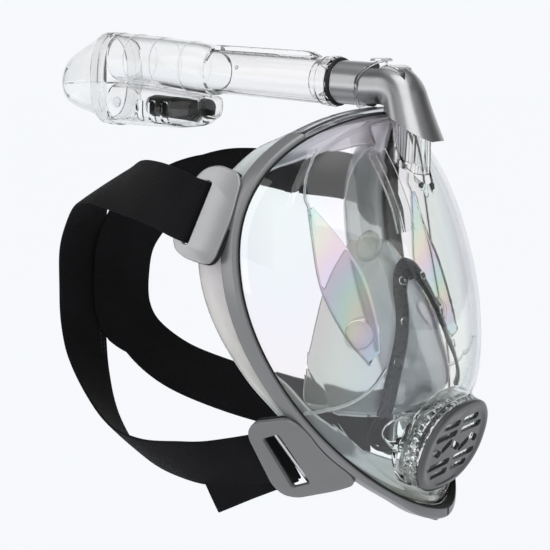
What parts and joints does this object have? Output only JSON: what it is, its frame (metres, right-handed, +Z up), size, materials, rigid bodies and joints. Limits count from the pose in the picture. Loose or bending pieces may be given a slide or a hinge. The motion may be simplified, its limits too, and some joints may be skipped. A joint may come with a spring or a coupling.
{
  "type": "snorkel mask",
  "caption": "Clear full-face snorkel mask with a fold-back dry-top snorkel, silver frame, chin drain and two black elastic head straps.",
  "frame": {"origin": "middle of the opening for the face, between the wearer's eyes and mouth", "axes": "+Y back through the wearer's head, so the lens faces -Y; +Z up; +X to the wearer's left"},
  "size_m": [0.204, 0.3579, 0.3121],
  "materials": {
    "clear_polycarbonate": "clear, polished, with a faint pastel stress sheen",
    "clear_silicone": "translucent clear, slightly milky satin",
    "silver_plastic": "satin metallic silver moulding",
    "grey_plastic": "satin dark silver-grey moulding",
    "black_webbing": "woven elastic webbing with fine ribs",
    "black_rubber": "matt black",
    "black_plastic": "fine satin black",
    "stainless_steel": "drawn bar"
  },
  "bodies": {
    "mask": {"air_port": "clear_polycarbonate", "arch_frame": "grey_plastic", "chin_clamp": "grey_plastic", "chin_screw": "stainless_steel", "drain_cover": "grey_plastic", "drain_duct": "clear_polycarbonate", "drain_rim": "clear_polycarbonate", "elbow_cowl": "silver_plastic", "elbow_gasket": "black_rubber", "exhale_channel": "clear_polycarbonate", "fold_pin": "stainless_steel", "frame_left": "grey_plastic", "frame_right": "grey_plastic", "frame_stud_left_1": "clear_polycarbonate", "frame_stud_left_2": "clear_polycarbonate", "frame_stud_left_3": "clear_polycarbonate", "frame_stud_right_1": "clear_polycarbonate", "frame_stud_right_2": "clear_polycarbonate", "frame_stud_right_3": "clear_polycarbonate", "inhale_seat_left": "clear_polycarbonate", "inhale_seat_right": "clear_polycarbonate", "lens": "clear_polycarbonate", "lower_tab_left": "grey_plastic", "lower_tab_right": "grey_plastic", "orinasal_cup": "clear_silicone", "oval_seal_ring": "black_rubber", "purge_seat": "grey_plastic", "skirt": "clear_silicone", "strap_bar_left": "stainless_steel", "strap_bar_right": "stainless_steel", "strap_left": "black_webbing", "strap_right": "black_webbing", "strap_tail_left": "black_webbing", "strap_tail_right": "black_webbing", "top_bridge": "clear_polycarbonate", "upper_tab_left": "silver_plastic", "upper_tab_right": "silver_plastic"},
    "snorkel": {"snorkel_knuckle": "silver_plastic", "slot_tongue": "clear_polycarbonate", "tube_o_ring": "black_rubber", "snorkel_tube": "clear_polycarbonate", "drytop_housing": "clear_polycarbonate", "float_cage": "clear_polycarbonate", "band_ring": "clear_polycarbonate", "nose_cone": "clear_polycarbonate"},
    "float": {"float": "black_plastic", "float_seal": "clear_silicone"},
    "inhale_valve_right": {"inhale_valve_right": "clear_silicone"},
    "inhale_valve_left": {"inhale_valve_left": "clear_silicone"},
    "purge_membrane": {"purge_membrane": "clear_silicone"}
  },
  "joints": [
    {"name": "snorkel_fold", "type": "hinge", "parent": "mask", "child": "snorkel", "pos_m": [0, -0.057, 0.1375], "axis": [1, 0, 0], "range_deg": [0, 75]},
    {"name": "float_slide", "type": "slide", "parent": "snorkel", "child": "float", "axis": [0, 0.9986, 0.0523], "range_m": [0, 0.026]},
    {"name": "inhale_flap_right", "type": "slide", "parent": "mask", "child": "inhale_valve_right", "axis": [0.8629, 0.5017, -0.0602], "range_m": [0, 0.0015], "stiffness_N_per_m": 40},
    {"name": "inhale_flap_left", "type": "slide", "parent": "mask", "child": "inhale_valve_left", "axis": [-0.8629, 0.5017, -0.0602], "range_m": [0, 0.0015], "stiffness_N_per_m": 40},
    {"name": "purge_flap", "type": "slide", "parent": "mask", "child": "purge_membrane", "axis": [0, -0.9632, -0.2689], "range_m": [0, 0.0015], "stiffness_N_per_m": 60}
  ]
}
